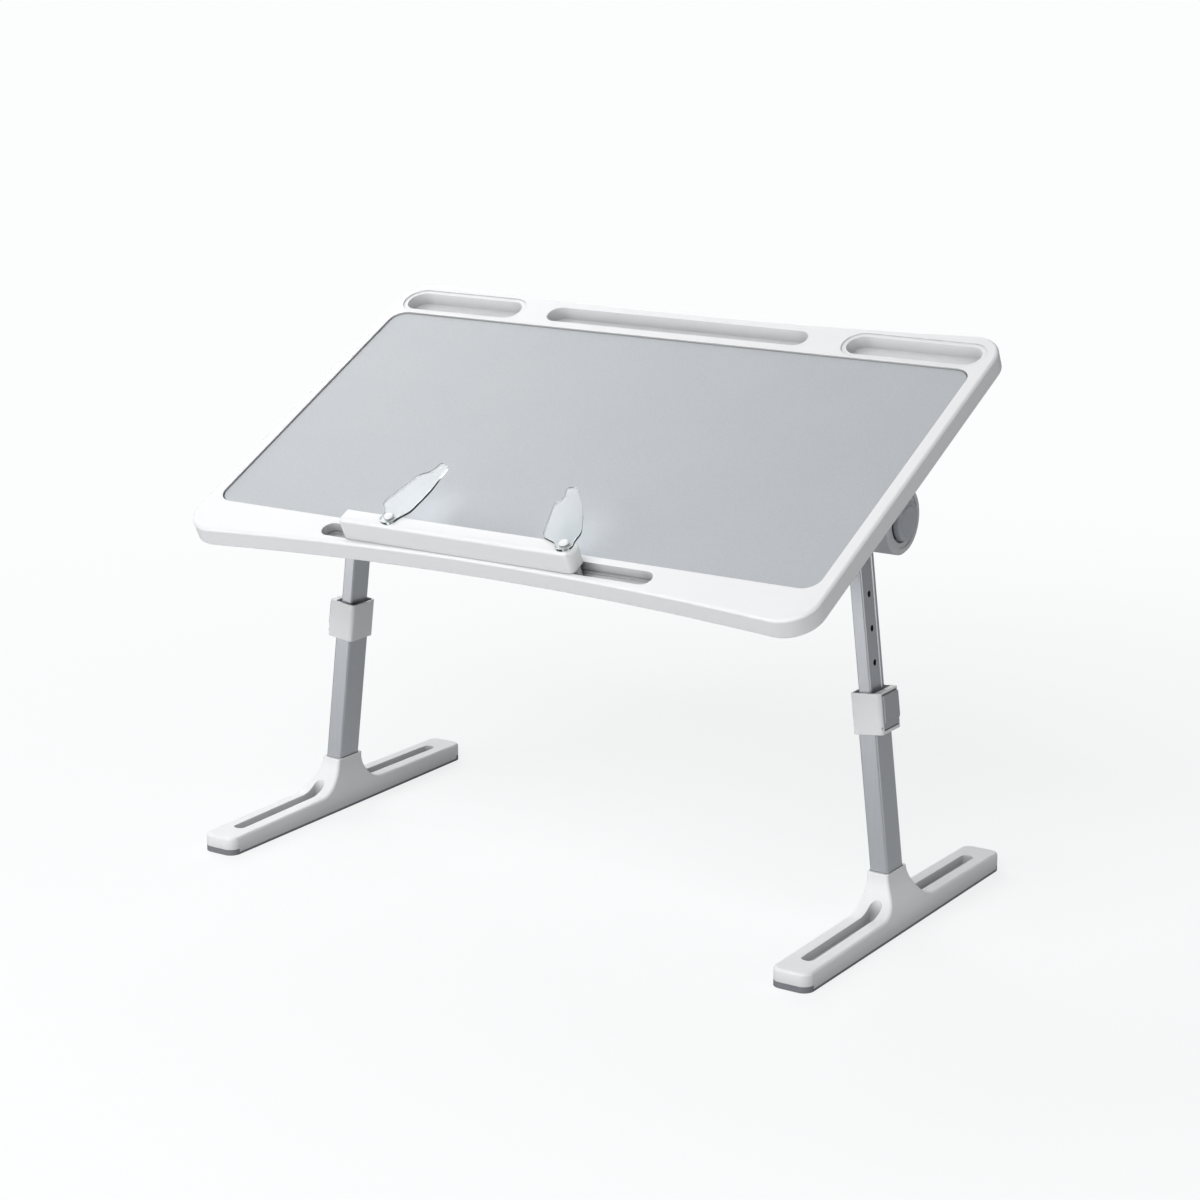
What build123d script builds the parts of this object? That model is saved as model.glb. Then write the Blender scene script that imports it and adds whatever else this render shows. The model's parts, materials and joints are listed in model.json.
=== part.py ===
from build123d import *
from math import cos, radians, sin, tan
import os

# Bed table with a tilting top on two folding, telescopic legs. Millimetres, +Z up, floor at zero,
# +X to the user's right and +Y away from the user. The top is drawn flat, with u to the right,
# v to the rear and w up from the rim's top face, and is then tilted about the hinge axis.

# How the table stands
tilt_angle = 26.39
splay_angle = 6.81
hinge_height = 335.8
hinge_behind_middle = 1.5
fold_pin_from_housing = 17.7

# Fits and overruns
overrun = 1.0
moving_gap = 0.3
running_fit = 0.1
pin_fit = 0.05
seat_gap = 0.1

# Rim of the top
top_width = 600.0
rear_hollow = 10.1
front_hollow = 15.7
top_corner_radius = 28.0
rim_depth = 17.0
rim_top_radius = 2.6
rim_bottom_radius = 1.0

# Panel that lies in the rim
panel_side_border = 12.0
panel_depth = 286.0
panel_corner_radius = 13.5
panel_gap = 0.8
skin_drop = 1.2
skin_thickness = 1.2
skin_edge_radius = 0.5
board_thickness = 8.0
ledge_width = 14.0

# Cover under the top, with its ribs and screws
cover_thickness = 2.0
cover_inset = 4.0
cover_gap = 0.3
rib_thickness = 1.6
rib_spacing = 48.0
cover_screw_columns = 5
cover_screw_radius = 1.5
cover_screw_length = 6.0
cover_screw_head_radius = 2.8
cover_screw_head_depth = 1.2

# Pen tray and phone slot, the same pocket on each side, and the tablet slot between them
pocket_floor_depth = 12.0
tray_length = 122.0
tray_width = 25.0
tray_end_border = 13.0
tray_from_panel = 3.2
rear_lip = 2.6
mouth_step_width = 4.2
mouth_step_depth = 0.8
tablet_slot_width = 21.0
tablet_slot_from_left_tray = 31.0
tablet_slot_from_right_tray = 38.0
tablet_slot_from_panel = 9.2

# Slot along the front, in which the book stop slides
front_slot_length = 318.3
front_slot_width = 16.0
front_slot_middle = -3.85
front_slot_from_panel = 8.0
front_lip = 3.3
rail_groove_depth = 0.9
rail_groove_top = 7.6
rail_groove_height = 2.6

# Book stop, off to the left in its slot
stop_length = 227.3
stop_width = 18.0
stop_height = 20.5
stop_middle = -23.15
stop_front_radius = 4.0
stop_rear_radius = 8.0
stop_end_radius = 2.5
stop_wall = 2.4
tongue_inset = 2.0
tongue_depth = 10.6
stop_rail_reach = 0.6
stop_rail_height = 2.0

# Page clips and the rivets they turn on
clip_left_inset = 49.8
clip_right_inset = 8.5
clip_left_lean = -5.0
clip_right_lean = 20.0
clip_thickness = 2.0
clip_hub_radius = 7.5
clip_reach = 74.5
clip_root = 15.0
clip_half_width = 20.5
clip_shoulder = 55.0
clip_tip_width = 8.0
clip_corner_radius = 3.0
clip_left_edge_share = 0.9
clip_knee_across_share = 0.78
clip_knee_along_share = 0.82
clip_tip_middle_share = 0.13
clip_shoulder_step_share = 0.35
rivet_radius = 2.0
rivet_head_radius = 4.2
rivet_head_height = 1.6
rivet_depth = 9.0
rivet_boss_radius = 4.6

# Hinge housing, a drum under each edge of the top
housing_radius = 27.85
housing_inset = 15.0
housing_thickness = 23.5
housing_block_width = 48.0
housing_chamfer = 1.6
face_step_radius = 22.4
face_step_depth = 1.2
partition_thickness = 2.5
partition_from_face = 5.2
hinge_screw_spread = 38.0
hinge_screw_row_gap = 13.5
hinge_screw_radius = 2.0
hinge_screw_head_radius = 3.6
hinge_screw_head_depth = 2.2
hinge_screw_bite = 8.0
hinge_pad_margin = 5.0

# Tilt lock: hub, lock gear, bolt, nut, button and spring
hub_radius = 20.7
hub_flange_radius = 24.0
hub_flange_thickness = 4.2
hub_cup_depth = 5.5
hub_depth_in_housing = 8.5
gear_core_radius = 15.5
gear_lug_reach = 19.2
gear_lug_width = 1.9
gear_thickness = 5.0
gear_lug_count = 10
housing_slot_count = 40
bolt_radius = 3.0
bolt_head_radius = 5.5
bolt_head_depth = 3.2
nut_across_flats = 10.0
nut_height = 4.5
button_radius = 18.0
button_proud = 6.5
button_travel = 4.0
button_wall = 2.4
button_edge_radius = 1.4
prong_count = 3
prong_radius = 13.2
prong_thickness = 2.8
prong_width = 10.0
prong_barb = 1.0
prong_barb_length = 1.6
spring_radius = 8.0
spring_wire_radius = 0.55
spring_turns = 4

# Fold hinge at the head of each leg
ear_thickness = 4.0
ear_radius = 9.5
knuckle_radius = 9.3
fold_pin_radius = 4.0
fold_pin_head_radius = 6.0
fold_pin_head_depth = 1.6
tube_top_below_pin = 12.0
knuckle_plug_length = 30.0

# Upper tube with its height holes, and the guide in its lower end
upper_tube_thick = 11.3
upper_tube_wide = 23.8
upper_tube_corner = 1.6
upper_tube_wall = 1.2
upper_tube_bottom = 191.1
first_hole = 36.4
hole_pitch = 27.9
hole_count = 5
hole_radius = 2.6
guide_head = 8.0
guide_plug = 15.0
guide_edge = 0.8

# Lower tube
lower_tube_thick = 16.5
lower_tube_wide = 26.6
lower_tube_corner = 2.0
lower_tube_wall = 1.2
tube_end_above_floor = 16.186
tube_plug_height = 8.0

# Height collar with its flip latch
collar_bottom = 176.0
collar_height = 35.2
collar_thick = 23.0
collar_wide = 32.0
collar_latch_cheek = 4.0
collar_corner = 3.0
collar_top_slope = 3.0
collar_tube_seat = 19.0
collar_mouth_wall = 2.2
collar_mouth_depth = 3.2
latch_thickness = 4.2
latch_width = 24.0
latch_length = 27.5
latch_top_gap = 1.4
latch_barrel_radius = 2.3
latch_pin_radius = 1.2
latch_pin_bury = 2.6
latch_edge_radius = 0.8
peg_radius = 2.2
peg_window_slack = 1.6

# T foot with its neck and grooves, and the rubber sole under it
foot_length = 338.6
foot_width = 34.2
foot_height = 17.5
foot_end_height = 15.7
foot_corner_radius = 9.0
foot_side_height = 9.0
foot_edge_radius = 2.5
neck_height = 47.5
neck_thick = 19.4
neck_wide = 34.0
neck_flare = 28.0
neck_top_radius = 0.8
flare_pull_share = 0.55
side_pull_share = 0.45
neck_shadow_gap = 0.7
neck_shadow_depth = 2.0
groove_width = 8.0
groove_floor = 9.5
front_groove_start = 24.0
rear_groove_start = 38.4
groove_end = 143.4
sole_thickness = 2.0
sole_end_height = 5.0
sole_end_length = 9.0
foot_screw_radius = 2.5
foot_screw_head_radius = 4.6
foot_screw_head_depth = 3.4
foot_screw_head_below_tube = 7.0
foot_screw_bite = 6.0

# Places worked out from the sizes
panel_width = top_width - 2 * panel_side_border
panel_edge = panel_depth / 2
tray_from_middle = top_width / 2 - tray_end_border - tray_length / 2
tray_behind_middle = panel_edge + tray_from_panel + mouth_step_width + tray_width / 2
rear_reach = tray_behind_middle + tray_width / 2 + mouth_step_width + rear_lip + rear_hollow
tray_inner_end = tray_from_middle - tray_length / 2
tablet_slot_length = 2 * tray_inner_end - tablet_slot_from_left_tray - tablet_slot_from_right_tray
tablet_slot_middle = (tablet_slot_from_left_tray - tablet_slot_from_right_tray) / 2
tablet_slot_behind_middle = panel_edge + tablet_slot_from_panel + tablet_slot_width / 2
front_slot_line = panel_edge + front_slot_from_panel + front_slot_width / 2
front_reach = front_slot_line + front_slot_width / 2 + front_lip + front_hollow
stop_left_end = stop_middle - stop_length / 2
clip_left_middle = stop_left_end + clip_left_inset
clip_right_middle = stop_left_end + stop_length - clip_right_inset
housing_outer_face = top_width / 2 - housing_inset
housing_inner_face = housing_outer_face - housing_thickness
fold_pin_from_middle = housing_inner_face - fold_pin_from_housing
hinge_drop = rim_depth + housing_radius
board_seat = skin_drop + skin_thickness + board_thickness
tilt = radians(tilt_angle)
splay = radians(splay_angle)
middle_to_hinge_y = hinge_behind_middle * cos(tilt) + hinge_drop * sin(tilt)
middle_above_hinge = hinge_drop * cos(tilt) - hinge_behind_middle * sin(tilt)
front_edge_line = front_reach - front_hollow * (top_corner_radius / top_width)
front_from_hinge = middle_to_hinge_y + front_edge_line * cos(tilt)
leg_y = (front_from_hinge - foot_length / 2) / 2
hub_inner_face = housing_inner_face - moving_gap - hub_flange_thickness
hub_outer_face = housing_inner_face + hub_depth_in_housing
partition_outer_face = housing_outer_face - partition_from_face
partition_inner_face = partition_outer_face - partition_thickness
collar_top = collar_bottom - collar_height
lower_tube_bottom = hinge_height / cos(splay) - tube_end_above_floor
peg_depth = first_hole + hole_pitch * (hole_count - 1)
latch_pin_depth = collar_top + collar_mouth_depth + latch_top_gap + latch_length - latch_barrel_radius

top_place = Plane(
    origin=(0, leg_y - middle_to_hinge_y, hinge_height + middle_above_hinge),
    x_dir=(1, 0, 0),
    z_dir=(0, -sin(tilt), cos(tilt)),
).location
housing_place = top_place * Plane(
    origin=(0, hinge_behind_middle, -hinge_drop), x_dir=(0, 1, 0), z_dir=(1, 0, 0)
).location
hub_place = Plane(origin=(0, leg_y, hinge_height), x_dir=(0, 1, 0), z_dir=(1, 0, 0)).location
fold_place = Plane(
    origin=(fold_pin_from_middle, leg_y, hinge_height), x_dir=(1, 0, 0), z_dir=(0, -1, 0)
).location
leg_place = Plane(
    origin=(fold_pin_from_middle, leg_y, hinge_height),
    x_dir=(cos(splay), 0, sin(splay)),
    z_dir=(-sin(splay), 0, cos(splay)),
).location


def slab(sketch, low, high):
    """a flat sketch made solid between two heights"""
    return Pos(0, 0, low) * extrude(sketch, high - low)


def lying_bar(radius, low, high, direction):
    """a round bar along X or Y between two places"""
    turn = Rot(0, 90, 0) if direction == "x" else Rot(-90, 0, 0)
    return turn * slab(Circle(radius), low, high)


def round_box(thick, wide, corner):
    """section of a tube or plug, thin along X and wide along Y"""
    return RectangleRounded(thick, wide, corner)


# The top

def top_outline(inset):
    """the rim's outline, with hollow front and rear edges"""
    half = top_width / 2
    rear = ThreePointArc((-half, rear_reach), (0, rear_reach - rear_hollow), (half, rear_reach))
    front = ThreePointArc((-half, -front_reach), (0, front_hollow - front_reach), (half, -front_reach))
    sides = [Line((u, -front_reach), (u, rear_reach)) for u in (-half, half)]
    outline = make_face([rear, front, *sides])
    outline = fillet(outline.vertices(), top_corner_radius)
    return offset(outline, -inset) if inset else outline


def ledge_opening(clearance):
    """the hole inside the rim's ledge, narrowed where the hinges are screwed on"""
    width = panel_width - 2 * ledge_width
    depth = panel_depth - 2 * ledge_width
    opening = Rectangle(width, depth)
    pad_depth = housing_block_width + 2 * hinge_pad_margin
    pad_edge = housing_inner_face - hinge_pad_margin
    for side in (-1, 1):
        pad = Pos(side * (pad_edge + top_width / 2) / 2, hinge_behind_middle)
        opening -= pad * Rectangle(top_width / 2 - pad_edge, pad_depth)
    return offset(opening, -clearance) if clearance else opening


def long_pocket(length, width, extra):
    """a round-ended pocket outline"""
    return SlotOverall(length + 2 * extra, width + 2 * extra)


def cover_screw_places():
    """screw places under the rim's ledge, front and rear"""
    across = panel_width / 2 - ledge_width / 2
    along = panel_depth / 2 - ledge_width / 2
    step = 2 * across / (cover_screw_columns - 1)
    return [(i * step - across, side * along) for i in range(cover_screw_columns) for side in (-1, 1)]


def top_frame():
    """the moulded rim with its pockets"""
    rim = slab(top_outline(0), -rim_depth, 0)
    rim = fillet(rim.faces().sort_by(Axis.Z)[-1].edges(), rim_top_radius)
    rim = fillet(rim.faces().sort_by(Axis.Z)[0].edges(), rim_bottom_radius)
    seat = RectangleRounded(
        panel_width + 2 * panel_gap, panel_depth + 2 * panel_gap, panel_corner_radius + panel_gap
    )
    rim -= slab(seat, -board_seat, overrun)
    rim -= slab(ledge_opening(0), -rim_depth - overrun, 0)
    rim -= slab(top_outline(cover_inset), -rim_depth - overrun, cover_thickness - rim_depth)
    for side in (-1, 1):
        place = Pos(side * tray_from_middle, tray_behind_middle)
        rim -= place * slab(long_pocket(tray_length, tray_width, 0), -pocket_floor_depth, overrun)
        step = long_pocket(tray_length, tray_width, mouth_step_width)
        rim -= place * slab(step, -mouth_step_depth, overrun)
    tablet = Pos(tablet_slot_middle, tablet_slot_behind_middle)
    rim -= tablet * slab(
        long_pocket(tablet_slot_length, tablet_slot_width, 0), -pocket_floor_depth, overrun
    )
    front = Pos(front_slot_middle, -front_slot_line)
    rim -= front * slab(
        long_pocket(front_slot_length, front_slot_width, 0), -pocket_floor_depth, overrun
    )
    rim -= front * slab(
        long_pocket(front_slot_length, front_slot_width, rail_groove_depth),
        -rail_groove_top - rail_groove_height,
        -rail_groove_top,
    )
    for u, v in hinge_screw_places():
        rim -= Pos(u, v) * slab(Circle(hinge_screw_radius + seat_gap), -rim_depth - overrun, 0)
        head = Circle(hinge_screw_head_radius + seat_gap)
        rim -= Pos(u, v) * slab(head, -board_seat - hinge_screw_head_depth, 0)
    for u, v in cover_screw_places():
        rim -= Pos(u, v) * slab(
            Circle(cover_screw_radius), -rim_depth - overrun, cover_screw_length - rim_depth
        )
    return rim


def panel_board():
    """core board that lies on the rim's ledge"""
    outline = RectangleRounded(panel_width, panel_depth, panel_corner_radius)
    return slab(outline, -board_seat, -skin_drop - skin_thickness)


def panel_skin():
    """grained skin on the board"""
    outline = RectangleRounded(panel_width, panel_depth, panel_corner_radius)
    skin = slab(outline, -skin_drop - skin_thickness, -skin_drop)
    return fillet(skin.faces().sort_by(Axis.Z)[-1].edges(), skin_edge_radius)


def underside_cover():
    """moulded cover under the top, with ribs up to the board"""
    floor = cover_thickness - rim_depth
    plate = slab(top_outline(cover_inset + cover_gap), -rim_depth, floor)
    zone = ledge_opening(cover_gap)
    ribs = zone - offset(zone, -rib_thickness)
    count_u = int(panel_width / rib_spacing)
    count_v = int(panel_depth / rib_spacing)
    for i in range(1, count_u):
        ribs += Pos((i - count_u / 2) * rib_spacing, 0) * Rectangle(rib_thickness, panel_depth)
    for i in range(1, count_v):
        ribs += Pos(0, (i - count_v / 2) * rib_spacing) * Rectangle(panel_width, rib_thickness)
    plate += slab(ribs & zone, floor, -board_seat)
    for u, v in hinge_screw_places():
        plate -= Pos(u, v) * slab(Circle(hinge_screw_radius + seat_gap), -rim_depth - overrun, 0)
    for u, v in cover_screw_places():
        plate -= Pos(u, v) * slab(Circle(cover_screw_radius), -rim_depth, floor)
        head = Circle(cover_screw_head_radius)
        plate -= Pos(u, v) * slab(head, -rim_depth - overrun, cover_screw_head_depth - rim_depth)
    return plate


def cover_screws():
    """flat-headed screws that hold the cover to the ledge"""
    screws = Part()
    for u, v in cover_screw_places():
        screw = slab(Circle(cover_screw_radius), -rim_depth, cover_screw_length - rim_depth)
        screw += slab(Circle(cover_screw_head_radius), -rim_depth, cover_screw_head_depth - rim_depth)
        screws += Pos(u, v) * screw
    return screws


# Hinge housing and tilt lock, drawn with their axis along local Z

def hinge_screw_places():
    """screw places for both hinges, on the flat top"""
    middle = (housing_inner_face + housing_outer_face) / 2
    return [
        (side * (middle + row * hinge_screw_row_gap / 2), hinge_behind_middle + end * hinge_screw_spread / 2)
        for side in (-1, 1)
        for row in (-1, 1)
        for end in (-1, 1)
    ]


def hinge_screws():
    """four screws that hang the housing from the rim's ledge"""
    shank_end = -rim_depth - hinge_screw_bite
    screws = Part()
    for u, v in hinge_screw_places():
        if u > 0:
            screw = slab(Circle(hinge_screw_radius), shank_end, -board_seat)
            screw += slab(Circle(hinge_screw_head_radius), -board_seat - hinge_screw_head_depth, -board_seat)
            screws += Pos(u, v) * screw
    return top_place * screws


def around(radius, count, shape):
    """copies of a shape evenly round the axis"""
    return Sketch() + PolarLocations(radius, count) * shape


def prong_outline(extra):
    """the button's prongs or, with a clearance, their windows"""
    return around(
        prong_radius, prong_count, Rectangle(prong_thickness + 2 * extra, prong_width + 2 * extra)
    )


def lug_outline(count, clearance):
    """gear core with its lugs, or the bore and slots that take it"""
    outline = Circle(gear_core_radius + clearance)
    length = gear_lug_reach + clearance
    lugs = around(length / 2, count, Rectangle(length, gear_lug_width + 2 * clearance))
    return outline + (lugs & Circle(length))


def hinge_housing():
    """drum with the button's recess outside and the slotted lock ring inside"""
    outline = Circle(housing_radius)
    outline += Pos(0, housing_radius / 2) * Rectangle(housing_block_width, housing_radius)
    housing = slab(outline, housing_inner_face, housing_outer_face)
    rim_edges = housing.faces().sort_by(Axis.Z)[-1].edges().filter_by(GeomType.CIRCLE)
    housing = chamfer(rim_edges, housing_chamfer)
    housing -= slab(
        Circle(face_step_radius), housing_outer_face - face_step_depth, housing_outer_face + overrun
    )
    recess = Circle(button_radius + moving_gap)
    housing -= slab(recess, partition_outer_face, housing_outer_face + overrun)
    cavity = Circle(hub_radius + moving_gap)
    ring_face = hub_outer_face + moving_gap
    housing -= slab(cavity, housing_inner_face - overrun, ring_face)
    ring = Rot(0, 0, -tilt_angle) * lug_outline(housing_slot_count, moving_gap)
    housing -= slab(ring, ring_face, partition_inner_face)
    windows = prong_outline(moving_gap) + Circle(bolt_radius + pin_fit)
    housing -= slab(windows, partition_inner_face, partition_outer_face)
    housing = housing_place * housing
    for u, v in hinge_screw_places():
        if u > 0:
            hole = slab(Circle(hinge_screw_radius + seat_gap), -rim_depth - hinge_screw_bite, 0)
            housing -= top_place * Pos(u, v) * hole
    return housing


def lock_button():
    """round cap whose prongs pass the partition towards the lock gear"""
    face = housing_outer_face + button_proud
    skirt = partition_outer_face + button_travel + moving_gap
    cap = slab(Circle(button_radius), skirt, face)
    cap = fillet(cap.faces().sort_by(Axis.Z)[-1].edges(), button_edge_radius)
    cap -= slab(Circle(button_radius - button_wall), skirt - overrun, face - button_wall)
    tip = hub_outer_face + button_travel + moving_gap
    cap += slab(prong_outline(0), tip, face - button_wall)
    barb_top = partition_inner_face - moving_gap
    barbs = around(prong_radius - prong_barb, prong_count, Rectangle(prong_thickness, prong_width))
    cap += slab(barbs, barb_top - prong_barb_length, barb_top)
    return housing_place * cap


def button_spring():
    """coil between the partition and the button"""
    low = partition_outer_face + spring_wire_radius + moving_gap
    high = housing_outer_face + button_proud - button_wall - spring_wire_radius - moving_gap
    coil = Helix(pitch=(high - low) / spring_turns, height=high - low, radius=spring_radius)
    wire = Plane(coil @ 0, z_dir=coil % 0) * Circle(spring_wire_radius)
    return housing_place * Pos(0, 0, low) * sweep(wire, path=coil)


def tilt_hub():
    """turning hub: a slotted cup in the housing and two ears for the leg"""
    flange_face = hub_inner_face + hub_flange_thickness
    hub = slab(Circle(hub_flange_radius), hub_inner_face, flange_face)
    hub += slab(Circle(hub_radius), flange_face, hub_outer_face)
    cup = lug_outline(gear_lug_count, running_fit)
    hub -= slab(cup, hub_outer_face - hub_cup_depth, hub_outer_face + overrun)
    hub -= slab(Circle(bolt_radius + pin_fit), hub_inner_face, hub_outer_face)
    hub -= slab(
        Circle(bolt_head_radius + seat_gap), hub_inner_face - overrun, hub_inner_face + bolt_head_depth
    )
    hub = hub_place * hub
    reach = hub_inner_face - fold_pin_from_middle
    ear = Circle(ear_radius) + Pos(reach / 2, 0) * Rectangle(reach, 2 * ear_radius)
    ear -= Circle(fold_pin_radius + pin_fit)
    inside = upper_tube_wide / 2 + moving_gap
    ears = slab(ear, inside, inside + ear_thickness) + slab(ear, -inside - ear_thickness, -inside)
    return hub + fold_place * ears


def lock_gear():
    """lugged disc in the hub's cup"""
    low = hub_outer_face - moving_gap - gear_thickness
    disc = slab(lug_outline(gear_lug_count, 0), low, low + gear_thickness)
    disc -= slab(Circle(bolt_radius + running_fit), low - overrun, low + gear_thickness + overrun)
    return hub_place * disc


def tilt_bolt():
    """bolt through hub, gear and partition"""
    end = partition_outer_face + nut_height + moving_gap
    bolt = slab(Circle(bolt_radius), hub_inner_face, end)
    bolt += slab(Circle(bolt_head_radius), hub_inner_face, hub_inner_face + bolt_head_depth)
    return hub_place * bolt


def tilt_nut():
    """hex nut outside the partition"""
    low = partition_outer_face + seat_gap
    nut = RegularPolygon(nut_across_flats / 2, 6, major_radius=False) - Circle(bolt_radius)
    return hub_place * slab(nut, low, low + nut_height)


# Fold hinge

def fold_pin():
    """headed pin through the ears and the knuckle"""
    half = upper_tube_wide / 2 + moving_gap + ear_thickness
    pin = slab(Circle(fold_pin_radius), -half, half)
    pin += slab(Circle(fold_pin_head_radius), half, half + fold_pin_head_depth)
    pin += slab(Circle(fold_pin_head_radius), -half - fold_pin_head_depth, -half)
    return fold_place * pin


def leg_knuckle():
    """round end on the pin, a heel that stops on the hub and a plug in the tube"""
    stop = hub_inner_face - moving_gap - fold_pin_from_middle
    block = Pos(0, -tube_top_below_pin / 2) * Rectangle(upper_tube_thick, tube_top_below_pin)
    profile = Circle(knuckle_radius) + Rot(0, 0, splay_angle) * block
    profile += Polygon((0, 0), (0, -tube_top_below_pin), (stop, -tube_top_below_pin), (stop, 0), align=None)
    profile -= Circle(fold_pin_radius + pin_fit)
    half = upper_tube_wide / 2
    head = fold_place * slab(profile, -half, half)
    below = leg_place * slab(
        Rectangle(top_width, top_width), -tube_top_below_pin - top_width, -tube_top_below_pin
    )
    head -= below
    bore = round_box(
        upper_tube_thick - 2 * upper_tube_wall - seat_gap,
        upper_tube_wide - 2 * upper_tube_wall - seat_gap,
        upper_tube_corner - upper_tube_wall,
    )
    plug = slab(bore, -tube_top_below_pin - knuckle_plug_length, -tube_top_below_pin)
    return head + leg_place * plug


# Legs, drawn along local Z with the fold pin at zero and depths measured down from it

def tube(thick, wide, corner, wall, top, bottom):
    """a rectangular tube with rounded corners"""
    section = round_box(thick, wide, corner)
    section -= round_box(thick - 2 * wall, wide - 2 * wall, corner - wall)
    return slab(section, -bottom, -top)


def upper_tube():
    """inner tube with its row of height holes on the outer face"""
    solid = tube(
        upper_tube_thick, upper_tube_wide, upper_tube_corner, upper_tube_wall,
        tube_top_below_pin, upper_tube_bottom,
    )
    for i in range(hole_count):
        depth = first_hole + i * hole_pitch
        solid -= Pos(0, 0, -depth) * lying_bar(hole_radius, 0, upper_tube_thick, "x")
    return leg_place * solid


def tube_guide():
    """plastic plug whose head runs inside the lower tube"""
    head = round_box(
        lower_tube_thick - 2 * lower_tube_wall - 2 * running_fit,
        lower_tube_wide - 2 * lower_tube_wall - 2 * running_fit,
        lower_tube_corner - lower_tube_wall,
    )
    guide = slab(head, -upper_tube_bottom - guide_head, -upper_tube_bottom)
    guide = chamfer(guide.faces().sort_by(Axis.Z)[0].edges(), guide_edge)
    plug = round_box(
        upper_tube_thick - 2 * upper_tube_wall - seat_gap,
        upper_tube_wide - 2 * upper_tube_wall - seat_gap,
        upper_tube_corner - upper_tube_wall,
    )
    return leg_place * (guide + slab(plug, -upper_tube_bottom, guide_plug - upper_tube_bottom))


def lower_tube():
    """outer tube, from inside the collar to inside the foot"""
    return leg_place * tube(
        lower_tube_thick, lower_tube_wide, lower_tube_corner, lower_tube_wall,
        collar_bottom - collar_tube_seat, lower_tube_bottom,
    )


def latch_axis():
    """where the latch's pin lies: out from the leg and down from the fold pin"""
    return collar_thick / 2 + latch_barrel_radius, latch_pin_depth


def collar():
    """moulded collar with the latch's pocket on its outer face"""
    outer = collar_thick / 2 + collar_latch_cheek
    middle = (outer - collar_thick / 2) / 2
    outline = Pos(middle, 0) * round_box(outer + collar_thick / 2, collar_wide, collar_corner)
    body = slab(outline, -collar_bottom, -collar_top)
    body = chamfer(body.faces().sort_by(Axis.X)[-1].edges().sort_by(Axis.Z)[-1], collar_top_slope)
    mouth = round_box(
        collar_thick - 2 * collar_mouth_wall, collar_wide - 2 * collar_mouth_wall,
        collar_corner - collar_mouth_wall,
    )
    body -= slab(mouth, -collar_top - collar_mouth_depth, overrun - collar_top)
    bore = round_box(
        upper_tube_thick + 2 * running_fit, upper_tube_wide + 2 * running_fit,
        upper_tube_corner + running_fit,
    )
    body -= slab(bore, -collar_bottom, -collar_top)
    seat = round_box(
        lower_tube_thick + seat_gap, lower_tube_wide + seat_gap, lower_tube_corner + seat_gap
    )
    body -= slab(seat, -collar_bottom - overrun, collar_tube_seat - collar_bottom)
    pocket_top = collar_top + collar_mouth_depth
    pocket_bottom = latch_pin_depth + latch_barrel_radius + moving_gap
    pocket_floor = collar_thick / 2 - moving_gap
    pocket = Pos((pocket_floor + outer + overrun) / 2, 0) * Rectangle(
        outer + overrun - pocket_floor, latch_width + 2 * moving_gap
    )
    body -= slab(pocket, -pocket_bottom, -pocket_top)
    window = Pos(collar_thick / 4, 0) * Rectangle(collar_thick / 2, 2 * (peg_radius + moving_gap))
    window_reach = peg_radius + peg_window_slack
    body -= slab(window, -peg_depth - window_reach, -peg_depth + window_reach)
    across, depth = latch_axis()
    half = latch_width / 2 + moving_gap + latch_pin_bury
    body -= Pos(across, 0, -depth) * lying_bar(latch_pin_radius + pin_fit, -half, half, "y")
    return leg_place * body


def latch_pin():
    """pin on which the latch turns"""
    across, depth = latch_axis()
    half = latch_width / 2 + moving_gap + latch_pin_bury
    return leg_place * Pos(across, 0, -depth) * lying_bar(latch_pin_radius, -half, half, "y")


def collar_latch():
    """flip latch, hinged at its lower end, with the peg that enters a height hole"""
    across, depth = latch_axis()
    barrel = Circle(latch_barrel_radius)
    back = -latch_barrel_radius
    lever = Pos(back + latch_thickness / 2, (latch_length - latch_barrel_radius) / 2) * Rectangle(
        latch_thickness, latch_length - latch_barrel_radius
    )
    profile = barrel + lever - Circle(latch_pin_radius + pin_fit)
    latch_plane = Plane(origin=(across, 0, -depth), x_dir=(1, 0, 0), z_dir=(0, -1, 0)).location
    latch = latch_plane * slab(profile, -latch_width / 2, latch_width / 2)
    latch = fillet(latch.faces().sort_by(Axis.Z)[-1].edges().sort_by(Axis.X)[-1], latch_edge_radius)
    peg_tip = upper_tube_thick / 2 + moving_gap
    latch += Pos(0, 0, -peg_depth) * lying_bar(peg_radius, peg_tip, across, "x")
    return leg_place * latch


def tube_plug():
    """plug in the lower tube's end that takes the foot's screw"""
    section = round_box(
        lower_tube_thick - 2 * lower_tube_wall - seat_gap,
        lower_tube_wide - 2 * lower_tube_wall - seat_gap,
        lower_tube_corner - lower_tube_wall,
    )
    section -= Circle(foot_screw_radius)
    return leg_place * slab(section, -lower_tube_bottom, tube_plug_height - lower_tube_bottom)


def foot_screw():
    """screw up through the foot into the tube plug"""
    head_top = lower_tube_bottom + foot_screw_head_below_tube
    screw = slab(Circle(foot_screw_radius), -head_top, foot_screw_bite - lower_tube_bottom)
    screw += slab(Circle(foot_screw_head_radius), -head_top - foot_screw_head_depth, -head_top)
    return leg_place * screw


# Foot, drawn standing on the floor

def leg_x(height):
    """where the leg's centre line is at a height above the floor"""
    return fold_pin_from_middle + (hinge_height - height) * tan(splay)


def foot_plan(low, high):
    """the foot's outline from above, as a block between two heights"""
    outline = RectangleRounded(foot_width, foot_length, foot_corner_radius)
    return Pos(leg_x(0), leg_y) * slab(outline, low, high)


def end_blocks():
    """space at both ends of the foot that the sole's raised ends fill"""
    length = sole_end_length + overrun
    block = Rectangle(foot_width + 2 * overrun, length)
    place = foot_length / 2 - sole_end_length + length / 2
    ends = Pos(0, place) * block + Pos(0, -place) * block
    return Pos(leg_x(0), leg_y) * slab(ends, sole_thickness, sole_end_height)


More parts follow.
